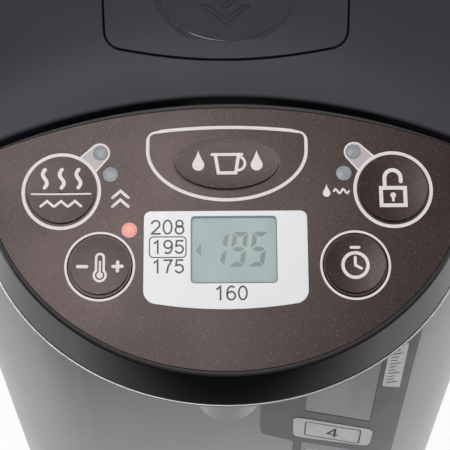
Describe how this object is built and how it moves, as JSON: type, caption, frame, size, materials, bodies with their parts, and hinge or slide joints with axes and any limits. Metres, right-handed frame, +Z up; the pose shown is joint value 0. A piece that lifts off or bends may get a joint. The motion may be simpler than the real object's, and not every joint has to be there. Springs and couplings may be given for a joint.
{
  "type": "electric thermo pot",
  "caption": "Electric thermo pot: a tall D-shaped heated water pot with a hinged lid, sloping key panel with a display, spout, water gauge and carry handle.",
  "frame": {"origin": "middle of the bounding box's bottom, on the surface the pot stands on", "axes": "+Z up, -Y the pot's front where the spout and the panel are, +X the pot's right side seen from the front"},
  "size_m": [0.209, 0.2748, 0.3372],
  "materials": {
    "silver_body": "metallic lacquer, satin",
    "dark_lid": "satin dark grey",
    "shoulder_grey": "satin grey",
    "beak_black": "gloss black",
    "panel_brown": "brown-grey metallic print",
    "plate_white": "gloss white",
    "lcd_glass": "clear window",
    "lcd_grey": "display module",
    "board_green": "printed circuit laminate",
    "switch_black": "plain",
    "lamp_clear": "translucent",
    "key_grey": "brown-grey satin",
    "inner_steel": "brushed",
    "screw_steel": "zinc plated",
    "chassis_steel": "galvanised",
    "heater_alloy": "cast",
    "jacket_felt": "felted fibre",
    "silicone_grey": "silicone",
    "rubber_black": "plain",
    "pump_plastic": "natural plastic",
    "motor_steel": "plated",
    "gauge_clear": "clear",
    "gauge_grey": "satin grey",
    "spout_grey": "light grey",
    "base_grey": "fine texture",
    "pin_metal": "plated"
  },
  "bodies": {
    "base": {"base_feet": "rubber_black", "swivel_base": "base_grey", "swivel_screw": "screw_steel"},
    "pot": {"bottom_cover": "base_grey", "bottom_screws": "screw_steel", "outer_sleeve": "silver_body", "chassis_plate": "chassis_steel", "inner_pot": "inner_steel", "pot_gasket": "silicone_grey", "insulation_jacket": "jacket_felt", "outlet_strainer": "inner_steel", "heater_plate": "heater_alloy", "heater_clamp": "chassis_steel", "thermistor": "switch_black", "thermal_fuse": "silicone_grey", "pump_body": "pump_plastic", "pump_cover": "pump_plastic", "inlet_sleeve": "silicone_grey", "motor_case": "motor_steel", "delivery_hose": "silicone_grey", "gauge_tube": "gauge_clear", "gauge_seals": "silicone_grey", "gauge_bezel": "gauge_grey", "gauge_lens": "gauge_clear", "valve_cage": "pump_plastic", "spout_pipe": "pump_plastic", "spout_nozzle": "spout_grey", "upper_housing": "shoulder_grey", "lid_hinge_pin": "inner_steel", "front_cover": "beak_black", "beak_underside": "base_grey", "panel_sheet": "panel_brown", "lcd_plate": "plate_white", "lcd_window": "lcd_glass", "lcd_module": "lcd_grey", "display_board": "board_green", "board_screws": "screw_steel", "key_switches": "switch_black", "lamp_lenses": "lamp_clear", "mouth_collar": "shoulder_grey", "handle_pivots": "inner_steel", "power_board": "board_green", "plug_receptacle": "base_grey", "receptacle_pins": "pin_metal"},
    "lid": {"lid_cover": "dark_lid", "lid_base": "base_grey", "inner_lid": "inner_steel", "lid_gasket": "silicone_grey", "steam_vent": "dark_lid"},
    "lever": {"lid_lever": "dark_lid"},
    "latch": {"lid_latch": "pump_plastic"},
    "handle": {"carry_handle": "dark_lid"},
    "reboil": {"reboil_key": "key_grey"},
    "unlock": {"unlock_key": "key_grey"},
    "temperature": {"temperature_key": "key_grey"},
    "timer": {"timer_key": "key_grey"},
    "dispense": {"dispense_key": "key_grey"},
    "rotor": {"motor_rotor": "motor_steel"},
    "impeller": {"pump_impeller": "pump_plastic"},
    "ball": {"valve_ball": "inner_steel"}
  },
  "joints": [
    {"name": "body_swivel", "type": "hinge", "parent": "base", "child": "pot", "pos_m": [0, 0.004, 0.01], "axis": [0, 0, 1], "continuous": true},
    {"name": "lid_hinge", "type": "hinge", "parent": "pot", "child": "lid", "pos_m": [0, 0.108, 0.312], "axis": [-1, 0, 0], "range_deg": [0, 85]},
    {"name": "lever_pivot", "type": "hinge", "parent": "lid", "child": "lever", "pos_m": [0, 0.009, 0.3275], "axis": [1, 0, 0], "range_deg": [0, 6], "stiffness_Nm_per_rad": 0.3, "springref_deg": -2.86},
    {"name": "latch_slide", "type": "slide", "parent": "lid", "child": "latch", "axis": [0, 1, 0], "range_m": [0, 0.004]},
    {"name": "handle_swing", "type": "hinge", "parent": "pot", "child": "handle", "pos_m": [0, 0, 0.295], "axis": [1, 0, 0], "range_deg": [0, 90]},
    {"name": "reboil_press", "type": "slide", "parent": "pot", "child": "reboil", "axis": [0, 0.4226, -0.9063], "range_m": [0, 0.0008], "stiffness_N_per_m": 1200, "springref_m": -0.001},
    {"name": "unlock_press", "type": "slide", "parent": "pot", "child": "unlock", "axis": [0, 0.4226, -0.9063], "range_m": [0, 0.0008], "stiffness_N_per_m": 1200, "springref_m": -0.001},
    {"name": "temperature_press", "type": "slide", "parent": "pot", "child": "temperature", "axis": [0, 0.4226, -0.9063], "range_m": [0, 0.0008], "stiffness_N_per_m": 1200, "springref_m": -0.001},
    {"name": "timer_press", "type": "slide", "parent": "pot", "child": "timer", "axis": [0, 0.4226, -0.9063], "range_m": [0, 0.0008], "stiffness_N_per_m": 1200, "springref_m": -0.001},
    {"name": "dispense_press", "type": "slide", "parent": "pot", "child": "dispense", "axis": [0, 0.4226, -0.9063], "range_m": [0, 0.0008], "stiffness_N_per_m": 1200, "springref_m": -0.001},
    {"name": "rotor_spin", "type": "hinge", "parent": "pot", "child": "rotor", "pos_m": [-0.02, -0.036, 0.03], "axis": [0, 0, 1], "continuous": true},
    {"name": "impeller_spin", "type": "hinge", "parent": "pot", "child": "impeller", "pos_m": [-0.02, -0.036, 0.045], "axis": [0, 0, 1], "continuous": true},
    {"name": "ball_rise", "type": "slide", "parent": "pot", "child": "ball", "axis": [0, 0, 1], "range_m": [0, 0.003]}
  ],
  "couplings": [
    {"joint": "latch_slide", "follows": "lever_pivot", "m_per_rad": 0.0381},
    {"joint": "impeller_spin", "follows": "rotor_spin", "ratio": 1}
  ]
}
